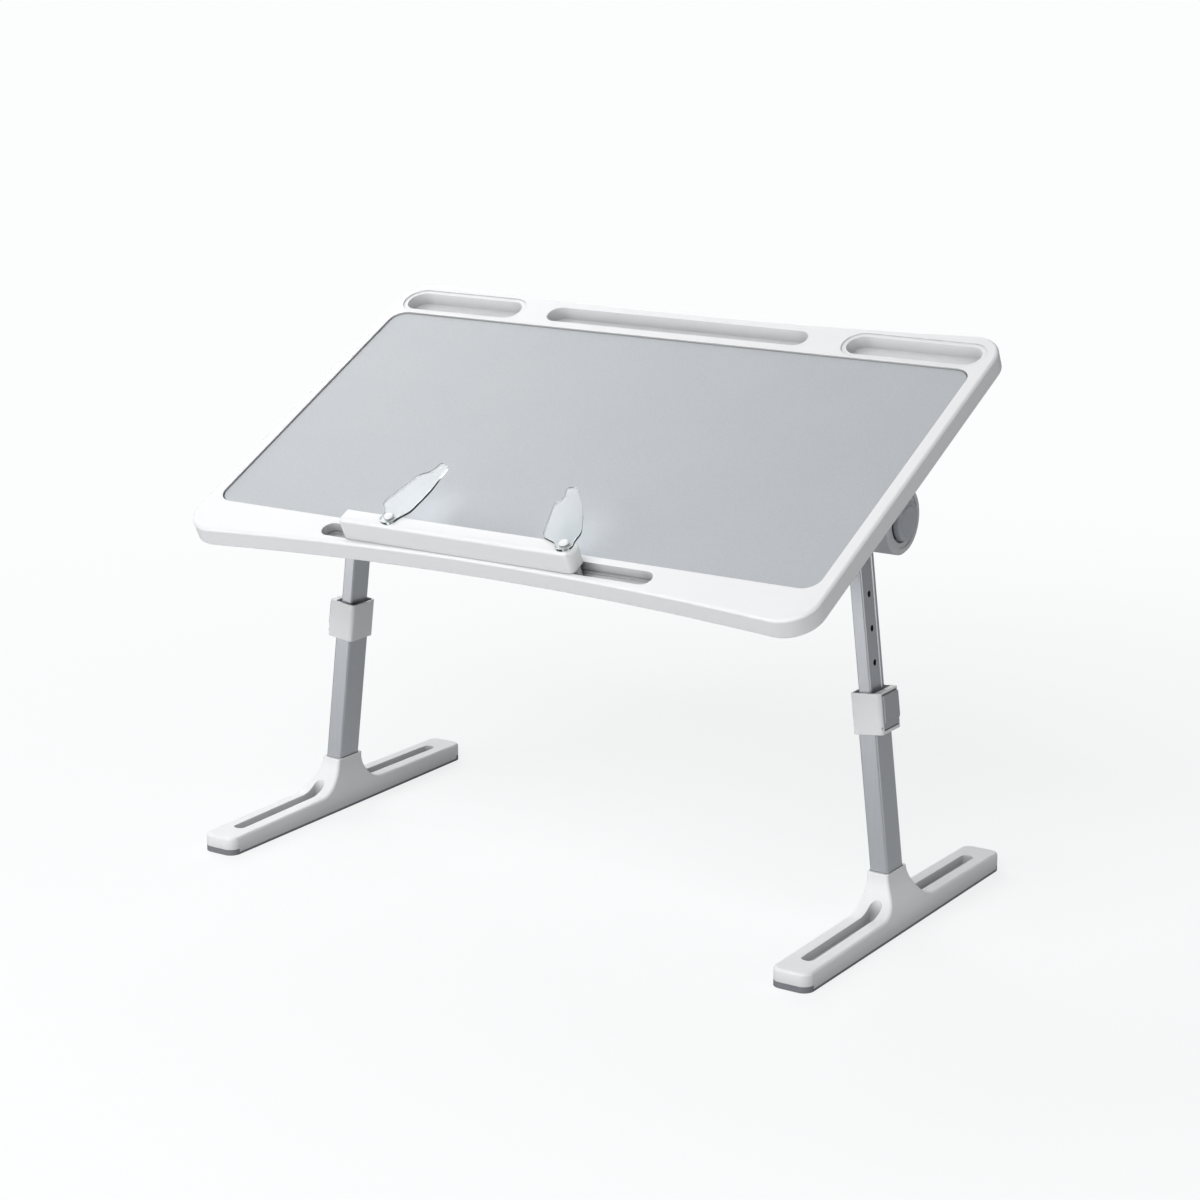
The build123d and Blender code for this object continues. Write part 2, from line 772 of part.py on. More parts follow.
def foot_side_profile():
    """the T seen from the side, with a curved flare on each side of the neck"""
    half = foot_length / 2
    neck = neck_wide / 2
    rise = neck_height - foot_height
    points = [(neck, neck_height), (-neck, neck_height)]
    lines = [Line(*points)]
    for side in (-1, 1):
        lines += [
            Bezier(
                (side * neck, neck_height),
                (side * neck, neck_height - flare_pull_share * rise),
                (side * (neck + neck_flare * (1 - flare_pull_share)), foot_height),
                (side * (neck + neck_flare), foot_height),
            ),
            Line((side * (neck + neck_flare), foot_height), (side * half, foot_end_height)),
            Line((side * half, foot_end_height), (side * half, sole_thickness)),
        ]
    lines += [Line((-half, sole_thickness), (half, sole_thickness))]
    return make_face(lines)


def foot_front_profile():
    """the foot seen from the front, narrowing to the leaning neck"""
    rise = neck_height - foot_side_height
    pull = side_pull_share * rise
    lines = []
    for side in (-1, 1):
        low = leg_x(0) + side * foot_width / 2
        high = leg_x(neck_height) + side * neck_thick / 2
        lines += [
            Line((low, sole_thickness), (low, foot_side_height)),
            Bezier(
                (low, foot_side_height),
                (low, foot_side_height + pull),
                (high + pull * tan(splay), neck_height - pull),
                (high, neck_height),
            ),
        ]
    left = leg_x(neck_height) - neck_thick / 2
    lines += [Line((left, neck_height), (left + neck_thick, neck_height))]
    left = leg_x(0) - foot_width / 2
    lines += [Line((left, sole_thickness), (left + foot_width, sole_thickness))]
    return make_face(lines)


def foot():
    """T foot: side profile, front profile and plan outline in one body"""
    side_plane = Plane(origin=(0, leg_y, 0), x_dir=(0, 1, 0), z_dir=(1, 0, 0)).location
    body = side_plane * slab(foot_side_profile(), 0, top_width)
    front_plane = Plane(origin=(0, leg_y, 0), x_dir=(1, 0, 0), z_dir=(0, -1, 0)).location
    body &= front_plane * slab(foot_front_profile(), -foot_length, foot_length)
    body &= foot_plan(sole_thickness, neck_height)
    lowest = (foot_side_height + foot_end_height) / 2
    highest = (foot_height + neck_height) / 2
    body = fillet(
        [edge for edge in body.edges() if lowest < edge.bounding_box().min.Z < highest], foot_edge_radius
    )
    body = fillet(body.faces().sort_by(Axis.Z)[-1].edges(), neck_top_radius)
    body -= end_blocks()
    for start, side in ((front_groove_start, -1), (rear_groove_start, 1)):
        groove = Rot(0, 0, 90) * SlotOverall(groove_end - start, groove_width)
        place = Pos(leg_x(0), leg_y + side * (groove_end + start) / 2)
        body -= place * slab(groove, groove_floor, neck_height + overrun)
    socket = round_box(
        lower_tube_thick + seat_gap, lower_tube_wide + seat_gap, lower_tube_corner + seat_gap
    )
    body -= leg_place * slab(socket, -lower_tube_bottom, 0)
    mouth = round_box(
        lower_tube_thick + 2 * neck_shadow_gap, lower_tube_wide + 2 * neck_shadow_gap,
        lower_tube_corner + neck_shadow_gap,
    )
    neck_top = (hinge_height - neck_height) / cos(splay)
    body -= leg_place * slab(mouth, -neck_top - neck_shadow_depth, 0)
    head_top = lower_tube_bottom + foot_screw_head_below_tube
    body -= leg_place * slab(Circle(foot_screw_radius + seat_gap), -head_top, -lower_tube_bottom)
    counterbore = Circle(foot_screw_head_radius + seat_gap)
    body -= leg_place * slab(counterbore, -hinge_height / cos(splay), -head_top)
    return body


def foot_sole():
    """rubber sole with raised ends"""
    return foot_plan(0, sole_thickness) + (foot_plan(0, sole_end_height) & end_blocks())


# Book stop and page clips, drawn on the flat top

def book_stop():
    """hollow bar with a tongue that runs in the front slot"""
    profile = Pos(0, (stop_height + moving_gap) / 2) * Rectangle(stop_width, stop_height - moving_gap)
    bar_plane = Plane(origin=(0, 0, 0), x_dir=(0, 1, 0), z_dir=(1, 0, 0)).location
    bar = bar_plane * slab(profile, -stop_length / 2, stop_length / 2)
    top = bar.faces().sort_by(Axis.Z)[-1].edges().filter_by(Axis.X).sort_by(Axis.Y)
    bar = fillet(top[0], stop_front_radius)
    top = bar.faces().sort_by(Axis.Z)[-1].edges().filter_by(Axis.X).sort_by(Axis.Y)
    bar = fillet(top[-1], stop_rear_radius)
    ends = bar.faces().sort_by(Axis.X)
    bar = fillet(ends[0].edges() + ends[-1].edges(), stop_end_radius)
    tongue = long_pocket(stop_length - 2 * tongue_inset, front_slot_width - 2 * moving_gap, 0)
    bar += slab(tongue, -tongue_depth, moving_gap)
    rails = long_pocket(stop_length - 2 * tongue_inset, front_slot_width - 2 * moving_gap, stop_rail_reach)
    rails &= Rectangle(stop_length - front_slot_width - 2 * tongue_inset, stop_width)
    rail_middle = rail_groove_top + rail_groove_height / 2
    bar += slab(rails, -rail_middle - stop_rail_height / 2, -rail_middle + stop_rail_height / 2)
    hollow = long_pocket(
        stop_length - 2 * tongue_inset, front_slot_width - 2 * moving_gap, -stop_wall
    )
    for u in (clip_left_middle, clip_right_middle):
        hollow -= Pos(u - stop_middle, 0) * Circle(rivet_boss_radius)
    bar -= slab(hollow, -tongue_depth - overrun, stop_height - stop_wall - stop_front_radius / 2)
    for u in (clip_left_middle, clip_right_middle):
        hole = slab(Circle(rivet_radius + pin_fit), stop_height - rivet_depth, stop_height + overrun)
        bar -= Pos(u - stop_middle, 0) * hole
    return top_place * Pos(stop_middle, -front_slot_line) * bar


def clip_outline():
    """paddle that points away from its rivet, with a shoulder on its left"""
    left = -clip_half_width * clip_left_edge_share
    tip = clip_half_width * clip_tip_middle_share
    outline = Polygon(
        (-clip_hub_radius, 0),
        (clip_hub_radius, 0),
        (clip_half_width, clip_root),
        (clip_half_width * clip_knee_across_share, clip_shoulder * clip_knee_along_share),
        (tip + clip_tip_width / 2, clip_reach),
        (tip - clip_tip_width / 2, clip_reach),
        (left * clip_shoulder_step_share, clip_shoulder + clip_corner_radius),
        (left, clip_shoulder),
        (-clip_half_width, clip_root),
        align=None,
    )
    return fillet(outline.vertices(), clip_corner_radius) + Circle(clip_hub_radius)


def page_clip(middle, lean):
    """clear paddle on its rivet"""
    low = stop_height + moving_gap
    plate = slab(clip_outline() - Circle(rivet_radius + pin_fit), low, low + clip_thickness)
    return top_place * Pos(middle, -front_slot_line) * Rot(0, 0, lean) * plate


def clip_rivet(middle):
    """rivet with a domed head over the clip"""
    low = stop_height - rivet_depth
    seat = stop_height + moving_gap + clip_thickness + moving_gap
    rivet = slab(Circle(rivet_radius), low, seat)
    head = slab(Circle(rivet_head_radius), seat, seat + rivet_head_height)
    head = chamfer(head.faces().sort_by(Axis.Z)[-1].edges(), rivet_head_height / 2)
    return top_place * Pos(middle, -front_slot_line) * (rivet + head)


def write(name, piece):
    """one file for each piece"""
    export_step(piece, "parts/" + name + ".step")


os.makedirs("parts", exist_ok=True)

write("top_frame", top_place * top_frame())
write("panel_board", top_place * panel_board())
write("panel_skin", top_place * panel_skin())
write("underside_cover", top_place * underside_cover())
write("cover_screws", top_place * cover_screws())
write("book_stop", book_stop())
write("page_clip_left", page_clip(clip_left_middle, clip_left_lean))
write("page_clip_right", page_clip(clip_right_middle, clip_right_lean))
write("clip_rivet_left", clip_rivet(clip_left_middle))
write("clip_rivet_right", clip_rivet(clip_right_middle))

for make_piece in (
    hinge_housing, hinge_screws, lock_button, button_spring, tilt_hub, lock_gear, tilt_bolt, tilt_nut,
    fold_pin, leg_knuckle, upper_tube, tube_guide, lower_tube, tube_plug, collar, collar_latch,
    latch_pin, foot, foot_screw, foot_sole,
):
    right = make_piece()
    write(make_piece.__name__ + "_right", right)
    write(make_piece.__name__ + "_left", mirror(right, about=Plane.YZ))
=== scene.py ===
import json
import math

import bmesh
import bpy
from mathutils import Matrix, Vector


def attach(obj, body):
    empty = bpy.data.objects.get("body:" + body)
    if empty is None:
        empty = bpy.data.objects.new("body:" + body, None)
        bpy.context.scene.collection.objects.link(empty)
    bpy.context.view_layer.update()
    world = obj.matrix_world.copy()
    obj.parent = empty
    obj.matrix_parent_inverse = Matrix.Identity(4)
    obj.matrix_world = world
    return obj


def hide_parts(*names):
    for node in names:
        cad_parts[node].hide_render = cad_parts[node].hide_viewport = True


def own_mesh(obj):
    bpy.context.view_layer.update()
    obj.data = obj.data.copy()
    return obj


# Bed table with a tilting top on two folding, telescopic legs, dressed over its solid model.
# Blender works in metres. The table's sizes are in millimetres, as in the solid model, and MM
# turns them to metres. The camera, the floor and the lamps are placed in metres. Angles are in
# degrees.

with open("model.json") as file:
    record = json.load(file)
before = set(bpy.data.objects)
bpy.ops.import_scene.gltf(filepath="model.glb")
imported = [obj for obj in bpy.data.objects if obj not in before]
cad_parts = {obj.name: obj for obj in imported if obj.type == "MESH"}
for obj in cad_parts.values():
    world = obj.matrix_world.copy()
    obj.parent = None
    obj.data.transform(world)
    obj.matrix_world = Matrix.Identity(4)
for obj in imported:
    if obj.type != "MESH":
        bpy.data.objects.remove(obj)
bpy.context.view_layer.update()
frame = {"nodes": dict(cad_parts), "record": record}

MM = 0.001
SIDES = ("left", "right")

# how finely round shapes are divided, how near two points count as one, from what angle on an
# edge is sharp, and how far a cut runs out past a face
ARC_STEPS = 8
ROUND_STEPS = 64
MERGE_GAP = 0.001 * MM
SHARP_ANGLE = 32
OVERSHOOT = 1


# Camera, at the photograph's view

LENS = 85.1
SENSOR_WIDTH = 36.0
CAMERA_SHIFT = (0.01085, 0.00912)
CAMERA_PLACE = (1.26601, -1.93297, 0.82728)
CAMERA_DIP = 14.641
CAMERA_TURN = 33.336


def set_camera():
    """long lens from the front right, a little above the table top"""
    data = bpy.data.cameras.new("camera")
    data.lens = LENS
    data.sensor_width = SENSOR_WIDTH
    data.shift_x, data.shift_y = CAMERA_SHIFT
    camera = bpy.data.objects.new("camera", data)
    camera.location = CAMERA_PLACE
    camera.rotation_euler = (math.radians(90 - CAMERA_DIP), 0, math.radians(CAMERA_TURN))
    bpy.context.scene.collection.objects.link(camera)
    bpy.context.scene.camera = camera


# Nodes and colours

# a Mix node's sockets for colours, which are told apart only by their numbers
MIX_FACTOR, MIX_A, MIX_B, MIXED = 0, 6, 7, 2


def linear(colour):
    """an sRGB hex colour as linear red, green, blue and full alpha"""
    channels = [int(colour[i:i + 2], 16) / 255 for i in (0, 2, 4)]
    curve = [c / 12.92 if c <= 0.04045 else ((c + 0.055) / 1.055) ** 2.4 for c in channels]
    return (*curve, 1.0)


def scale_for(size_mm):
    """a texture's scale from the real size of its marks"""
    return 1 / (size_mm * MM)


def add_node(tree, kind, settings, links=None):
    """one node with its settings, and links into its inputs"""
    node = tree.nodes.new(kind)
    for name, value in settings.items():
        if isinstance(name, int) or name in node.inputs:
            node.inputs[name].default_value = value
        else:
            setattr(node, name, value)
    for name, source in (links or {}).items():
        tree.links.new(source, node.inputs[name])
    return node


def new_material(name):
    """a material with an empty tree, its output, and the piece's own coordinates"""
    material = bpy.data.materials.new(name)
    material.use_nodes = True
    tree = material.node_tree
    tree.nodes.clear()
    output = add_node(tree, "ShaderNodeOutputMaterial", {})
    place = add_node(tree, "ShaderNodeTexCoord", {}).outputs["Object"]
    return material, tree, output, place


# Finishes

FLOW_MM = 90
# how wide the paler band of wear and painted highlight along edges is
WORN_HIGHLIT_EDGE_MM = 0.8
# how far the painted shade reaches into recesses
SHADE_REACH_MM = 18
PLASTIC_GLOSS_SPREAD = 0.06

PEBBLE_MM = 0.85
WANDER_MM = 3
WANDER_REACH_MM = 0.5
CLOUD_MM = 60

METAL_EDGE_MM = 0.5
METAL_GLOSS_SPREAD = 0.05
UPWARD_SQUEEZE = 0.004

RIPPLE_MM = 0.6


def moulded(
    name, colour, shade, roughness, grain_mm, grain_height_mm,
    ior=1.53, worn_highlit_edge="FFFFFF", worn_highlit_share=0.25, painted_shade=0.0,
):
    """moulded plastic: fine tool grain, faint flow shade, edges paler from wear and painted
    highlight, painted shade in recesses
    """
    material, tree, output, place = new_material(name)
    flow = add_node(
        tree, "ShaderNodeTexNoise", {"Scale": scale_for(FLOW_MM), "Detail": 3.0},
        {"Vector": place},
    )
    grain = add_node(
        tree, "ShaderNodeTexNoise",
        {"Scale": scale_for(grain_mm), "Detail": 4.0, "Roughness": 0.6},
        {"Vector": place},
    )
    tone = add_node(
        tree, "ShaderNodeMix",
        {"data_type": "RGBA", MIX_A: linear(colour), MIX_B: linear(shade)},
        {MIX_FACTOR: flow.outputs["Fac"]},
    )
    bump = add_node(
        tree, "ShaderNodeBump", {"Strength": 1.0, "Distance": grain_height_mm * MM},
        {"Height": grain.outputs["Fac"]},
    )

    # where the rounded normal turns away from the true one, there is an edge, painted paler: partly
    # wear from hands, partly painted highlight
    edge = add_node(tree, "ShaderNodeBevel", {"samples": 6, "Radius": WORN_HIGHLIT_EDGE_MM * MM})
    facing = add_node(tree, "ShaderNodeNewGeometry", {}).outputs["Normal"]
    turn = add_node(
        tree, "ShaderNodeVectorMath", {"operation": "DOT_PRODUCT"},
        {0: edge.outputs[0], 1: facing},
    )
    worn_highlit_mask = add_node(
        tree, "ShaderNodeMapRange",
        {"From Min": 0.98, "From Max": 0.80, "To Min": 0.0, "To Max": worn_highlit_share},
        {"Value": turn.outputs["Value"]},
    )
    finish = add_node(
        tree, "ShaderNodeMix", {"data_type": "RGBA", MIX_B: linear(worn_highlit_edge)},
        {MIX_FACTOR: worn_highlit_mask.outputs[0], MIX_A: tone.outputs[MIXED]},
    )
    gloss = add_node(
        tree, "ShaderNodeMapRange",
        {
            "To Min": roughness - PLASTIC_GLOSS_SPREAD,
            "To Max": roughness + PLASTIC_GLOSS_SPREAD,
        },
        {"Value": grain.outputs["Fac"]},
    )
    # painted shade: ambient occlusion darkens the colour in recesses, grooves and between parts
    if painted_shade:
        shade_occlusion = add_node(
            tree, "ShaderNodeAmbientOcclusion", {"samples": 8, "Distance": SHADE_REACH_MM * MM}
        )
        painted_shade_factor = add_node(
            tree, "ShaderNodeMapRange",
            {"From Min": 0.3, "From Max": 0.95, "To Min": 1.0 - painted_shade, "To Max": 1.0},
            {"Value": shade_occlusion.outputs["AO"]},
        )
        finish = add_node(
            tree, "ShaderNodeMix",
            {"data_type": "RGBA", "blend_type": "MULTIPLY", MIX_FACTOR: 1.0},
            {MIX_A: finish.outputs[MIXED], MIX_B: painted_shade_factor.outputs[0]},
        )
    shader = add_node(
        tree, "ShaderNodeBsdfPrincipled", {"IOR": ior},
        {
            "Base Color": finish.outputs[MIXED],
            "Roughness": gloss.outputs[0],
            "Normal": bump.outputs[0],
        },
    )
    tree.links.new(edge.outputs[0], bump.inputs["Normal"])
    tree.links.new(shader.outputs[0], output.inputs["Surface"])
    return material


def leatherette(name):
    """embossed PU leatherette: fine pebbles with thin darker valleys, and a soft sheen"""
    material, tree, output, place = new_material(name)
    wander = add_node(
        tree, "ShaderNodeTexNoise", {"Scale": scale_for(WANDER_MM), "Detail": 2.0},
        {"Vector": place},
    )
    bent = add_node(
        tree, "ShaderNodeVectorMath",
        {"operation": "MULTIPLY_ADD", 1: (WANDER_REACH_MM * MM,) * 3},
        {0: wander.outputs["Color"], 2: place},
    )
    pebble = add_node(
        tree, "ShaderNodeTexVoronoi",
        {"feature": "SMOOTH_F1", "Scale": scale_for(PEBBLE_MM), "Smoothness": 0.4},
        {"Vector": bent.outputs[0]},
    )
    cloud = add_node(
        tree, "ShaderNodeTexNoise", {"Scale": scale_for(CLOUD_MM), "Detail": 3.0},
        {"Vector": place},
    )
    tone = add_node(
        tree, "ShaderNodeMix",
        {"data_type": "RGBA", MIX_A: linear("B4B8BD"), MIX_B: linear("BABEC2")},
        {MIX_FACTOR: cloud.outputs["Fac"]},
    )
    valley = add_node(
        tree, "ShaderNodeMapRange",
        {"From Min": 0.35, "From Max": 0.75, "To Min": 0.0, "To Max": 0.35},
        {"Value": pebble.outputs["Distance"]},
    )
    skin = add_node(
        tree, "ShaderNodeMix", {"data_type": "RGBA", MIX_B: linear("9DA2A8")},
        {MIX_FACTOR: valley.outputs[0], MIX_A: tone.outputs[MIXED]},
    )
    bump = add_node(
        tree, "ShaderNodeBump", {"Strength": 0.5, "Distance": 0.08 * MM, "invert": True},
        {"Height": pebble.outputs["Distance"]},
    )
    shader = add_node(
        tree, "ShaderNodeBsdfPrincipled", {"Roughness": 0.4, "IOR": 1.55, "Sheen Weight": 0.08},
        {"Base Color": skin.outputs[MIXED], "Normal": bump.outputs[0]},
    )
    tree.links.new(shader.outputs[0], output.inputs["Surface"])
    return material


def lined_metal(name, colour, streak_colour, roughness, streak_mm):
    """metal with fine lines that run upwards, as a die leaves them, and a soft even reflection"""
    material, tree, output, place = new_material(name)
    stretch = add_node(
        tree, "ShaderNodeMapping", {"Scale": (1.0, 1.0, UPWARD_SQUEEZE)}, {"Vector": place}
    )
    streak = add_node(
        tree, "ShaderNodeTexNoise", {"Scale": scale_for(streak_mm), "Detail": 3.0},
        {"Vector": stretch.outputs[0]},
    )
    tone = add_node(
        tree, "ShaderNodeMix",
        {"data_type": "RGBA", MIX_A: linear(colour), MIX_B: linear(streak_colour)},
        {MIX_FACTOR: streak.outputs["Fac"]},
    )
    edge = add_node(tree, "ShaderNodeBevel", {"samples": 6, "Radius": METAL_EDGE_MM * MM})
    bump = add_node(
        tree, "ShaderNodeBump", {"Strength": 0.35, "Distance": 0.02 * MM},
        {"Height": streak.outputs["Fac"], "Normal": edge.outputs[0]},
    )
    gloss = add_node(
        tree, "ShaderNodeMapRange",
        {"To Min": roughness - METAL_GLOSS_SPREAD, "To Max": roughness + METAL_GLOSS_SPREAD},
        {"Value": streak.outputs["Fac"]},
    )
    shader = add_node(
        tree, "ShaderNodeBsdfPrincipled", {"Metallic": 1.0},
        {
            "Base Color": tone.outputs[MIXED],
            "Roughness": gloss.outputs[0],
            "Normal": bump.outputs[0],
        },
    )
    tree.links.new(shader.outputs[0], output.inputs["Surface"])
    return material


def clear_sheet(name):
    """clear moulded polycarbonate: polished, with a faint ripple from the mould"""
    material, tree, output, place = new_material(name)
    ripple = add_node(
        tree, "ShaderNodeTexNoise", {"Scale": scale_for(RIPPLE_MM), "Detail": 2.0},
        {"Vector": place},
    )
    bump = add_node(
        tree, "ShaderNodeBump", {"Strength": 0.1, "Distance": 0.01 * MM},
        {"Height": ripple.outputs["Fac"]},
    )
    gloss = add_node(
        tree, "ShaderNodeMapRange", {"To Min": 0.03, "To Max": 0.07},
        {"Value": ripple.outputs["Fac"]},
    )
    shader = add_node(
        tree, "ShaderNodeBsdfPrincipled",
        {"Base Color": linear("F1F4F5"), "IOR": 1.49, "Transmission Weight": 1.0},
        {"Roughness": gloss.outputs[0], "Normal": bump.outputs[0]},
    )
    # lamps shine through the sheet, so that it leaves only a faint shadow
    path = add_node(tree, "ShaderNodeLightPath", {})
    passed = add_node(tree, "ShaderNodeBsdfTransparent", {"Color": linear("EEF1F2")})
    surface = add_node(
        tree, "ShaderNodeMixShader", {},
        {0: path.outputs["Is Shadow Ray"], 1: shader.outputs[0], 2: passed.outputs[0]},
    )
    tree.links.new(surface.outputs[0], output.inputs["Surface"])
    return material


def make_materials():
    """one material for each finish that the record's slots name"""
    return {
        # ABS, injection moulded with a satin tool: bright, with a soft broad highlight and painted
        # shade darkening its pockets
        "white_abs": moulded(
            "white_abs_satin", "F2F3F4", "EEEFF1", roughness=0.38,
            grain_mm=0.5, grain_height_mm=0.015, painted_shade=0.55,
        ),
        # ABS from a textured tool: duller than the rim, its grain shows as fine speckle, and
        # painted shade darkens its grooves
        "foot_abs": moulded(
            "white_abs_textured", "F3F4F5", "ECEDEF", roughness=0.52,
            grain_mm=0.9, grain_height_mm=0.09, painted_shade=0.42,
        ),
        # PU leatherette, embossed and glued to the board: pebbled, with a soft sheen
        "grey_skin": leatherette("grey_pu_leatherette"),
        # medium density fibreboard, sawn: dull brown, and only its edge shows, round the skin
        "board": moulded(
            "sawn_fibreboard", "9A8D7C", "867A6B", roughness=0.85,
            grain_mm=0.6, grain_height_mm=0.12, worn_highlit_share=0.0,
        ),
        # aluminium, extruded and satin anodised: pale, with faint die lines up the leg
        "tube_aluminium": lined_metal(
            "satin_anodised_aluminium", "CBCDD1", "BCBFC3", roughness=0.37, streak_mm=0.35
        ),
        # steel, cold headed and zinc plated: greyer than the tubes, and shinier
        "steel": lined_metal(
            "zinc_plated_steel", "B9BABC", "A5A6A8", roughness=0.3, streak_mm=0.6
        ),
        # ABS coloured grey in the mass, for the hinge drums and hubs: even and softly lit
        "housing_grey": moulded(
            "grey_abs_satin", "D2D4D8", "CBCDD1", roughness=0.42,
            grain_mm=0.5, grain_height_mm=0.02, worn_highlit_edge="E6E8EA",
        ),
        # ABS, darker grey, for the lock buttons: matt, so that a thumb grips it
        "button_grey": moulded(
            "dark_grey_abs_matt", "B7BAC0", "AFB2B8", roughness=0.46,
            grain_mm=0.6, grain_height_mm=0.03, worn_highlit_edge="C6C9CD",
        ),
        # ABS, dark grey, for the flip latches: matt, its edges a little paler from wear and painted
        # highlight
        "latch_grey": moulded(
            "latch_grey_abs", "AFB1B6", "A7A9AF", roughness=0.45,
            grain_mm=0.6, grain_height_mm=0.03, worn_highlit_edge="C2C4C8",
        ),
        # polycarbonate, clear and polished: it shows by its edges and highlights
        "clear_plastic": clear_sheet("clear_polycarbonate"),
        # nylon, natural, for the running parts inside the legs and locks: waxy off-white
        "nylon": moulded(
            "natural_nylon", "DAD8D0", "D0CEC6", roughness=0.45,
            grain_mm=0.8, grain_height_mm=0.02,
        ),
        # rubber, moulded in grey, for the soles: matt, with hardly any highlight
        "rubber": moulded(
            "grey_rubber", "7F8287", "76797E", roughness=0.75,
            grain_mm=0.7, grain_height_mm=0.05, ior=1.52, worn_highlit_edge="8E9196", worn_highlit_share=0.15,
        ),
    }


def dress_frame(materials):
    """gives every carried-over part the material of its slot"""
    slot_of = {entry["node"]: entry["material_slot"] for entry in frame["record"]["subparts"]}
    for name, part in frame["nodes"].items():
        part.data.materials.clear()
        part.data.materials.append(materials[slot_of[name]])


# Shapes from a few corners

def round_off(shape, items, kind, radius, steps):
    """rounds edges, or the corners of a flat outline, by a radius"""
    bmesh.ops.bevel(
        shape, geom=items, offset=radius * MM, offset_type="OFFSET", segments=steps,
        profile=0.5, affect=kind, material=-1, clamp_overlap=True,
    )


def block(outline, low, high, corners=0.0):
    """a flat outline, its corners rounded by one radius or each by its own, made solid upwards"""
    shape = bmesh.new()
    ring = [shape.verts.new(Vector((x, y, low)) * MM) for x, y in outline]
    shape.faces.new(ring)
    radii = corners if isinstance(corners, tuple) else (corners,) * len(ring)
    for radius in sorted(set(radii) - {0.0}):
        alike = [corner for corner, size in zip(ring, radii) if size == radius]
        round_off(shape, alike, "VERTICES", radius, ARC_STEPS)
    raised = bmesh.ops.extrude_face_region(shape, geom=shape.faces[:])["geom"]
    lift = [item for item in raised if isinstance(item, bmesh.types.BMVert)]
    bmesh.ops.translate(shape, vec=(0, 0, (high - low) * MM), verts=lift)
    return shape


def rectangle(x, y, width, depth):
    """corners of a rectangle round a middle point"""
    ways = ((-1, -1), (1, -1), (1, 1), (-1, 1))
    return [(x + i * width / 2, y + j * depth / 2) for i, j in ways]


def rod(radius, low, high):
    """a round bar along Z"""
    shape = bmesh.new()
    bmesh.ops.create_cone(
        shape, cap_ends=True, segments=ROUND_STEPS, radius1=radius * MM, radius2=radius * MM,
        depth=(high - low) * MM,
    )
    bmesh.ops.translate(shape, vec=(0, 0, (high + low) / 2 * MM), verts=shape.verts)
    return shape


def turned(profile):
    """a section of radius and height, spun round Z"""
    shape = bmesh.new()
    ring = [shape.verts.new(Vector((radius, 0, height)) * MM) for radius, height in profile]
    edges = [shape.edges.new(pair) for pair in zip(ring, ring[1:])]
    bmesh.ops.spin(
        shape, geom=ring + edges, cent=(0, 0, 0), axis=(0, 0, 1), angle=math.tau,
        steps=ROUND_STEPS, use_merge=True,
    )
    return shape


# Places, as in the solid model: each turns what is drawn at the origin, then moves it

def moved(x, y, z):
    """a move by so many millimetres"""
    return Matrix.Translation(Vector((x, y, z)) * MM)


def rotated(degrees, axis):
    """a turn round an axis through the origin"""
    return Matrix.Rotation(math.radians(degrees), 4, axis)


# on the top, x runs to the right, y to the rear, and z stands square to it
TOP_PLACE = moved(0, -12.309, 375.309) @ rotated(26.39, "X")
# on a leg, x points outwards, and z runs up the leg to the hinge
LEG_PLACE = moved(243.8, 8.9695, 335.8) @ rotated(-6.81, "Y")
# in a hinge drum, z runs outwards from the middle of the table
DRUM_PLACE = moved(0, 8.9695, 335.8) @ rotated(90, "Y")
# with these, what is drawn along z lies along y or along x instead
ALONG_Y = rotated(90, "X")
ALONG_X = rotated(90, "Y")


def on(side, place):
    """a place on the right of the table, or its mirror image on the left"""
    return place if side == "right" else Matrix.Scale(-1, 4, (1, 0, 0)) @ place


# Pieces cut or built up from the shapes

def merge(shape, outwards=True):
    """merges points that meet, and can turn every face outwards"""
    bmesh.ops.remove_doubles(shape, verts=shape.verts, dist=MERGE_GAP)
    if outwards:
        bmesh.ops.recalc_face_normals(shape, faces=shape.faces)


def finished(name, shapes, place=Matrix(), outwards=True):
    """one object from its shapes, set in its place and merged"""
    whole = bmesh.new()
    for shape in shapes:
        part = bpy.data.meshes.new("part")
        shape.to_mesh(part)
        shape.free()
        whole.from_mesh(part)
        bpy.data.meshes.remove(part)
    bmesh.ops.transform(whole, matrix=place, verts=whole.verts)
    merge(whole, outwards)
    mesh = bpy.data.meshes.new(name)
    whole.to_mesh(mesh)
    whole.free()
    piece = bpy.data.objects.new(name, mesh)
    bpy.context.scene.collection.objects.link(piece)
    return piece


def copy_of(node, name):
    """a merged copy of a solid part, without its stored shading, to be cut or trimmed"""
    shape = bmesh.new()
    shape.from_mesh(frame["nodes"][node].data)
    piece = finished(name, [shape], outwards=False)
    for stored in ("custom_normal", "sharp_face", "sharp_edge"):
        if stored in piece.data.attributes:
            piece.data.attributes.remove(piece.data.attributes[stored])
    return piece


def carve(piece, *steps):
    """cuts, joins or trims a piece with tool pieces, which are then gone"""
    for operation, tool in steps:
        change = piece.modifiers.new(tool.name, "BOOLEAN")
        change.operation = operation
        change.solver = "EXACT"
        change.object = tool
    bpy.context.view_layer.update()
    graph = bpy.context.evaluated_depsgraph_get()
    shaped = bpy.data.meshes.new_from_object(piece.evaluated_get(graph))
    piece.modifiers.clear()
    piece.data = shaped
    for _, tool in steps:
        bpy.data.objects.remove(tool)


def fit(piece, materials, finish, body, node):
    """gives a piece its shading, finish and body, and hides the solid part that it stands for"""
    piece.data.shade_smooth()
    piece.data.set_sharp_from_angle(angle=math.radians(SHARP_ANGLE))
    even = piece.modifiers.new("even_shading", "WEIGHTED_NORMAL")
    even.keep_sharp = True
    piece.data.materials.clear()
    piece.data.materials.append(materials[finish])
    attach(piece, body)
    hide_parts(node)


# Book stop, page clips and screws, on the top

SLOT_LINE = -159.0

STOP_MIDDLE = -23.15
STOP_LENGTH = 227.3
STOP_WIDTH = 18.0
STOP_TOP = 20.5
STOP_BOTTOM = -20
STOP_PLAN_CORNER = 6.0
STOP_END_CORNER = 7.0

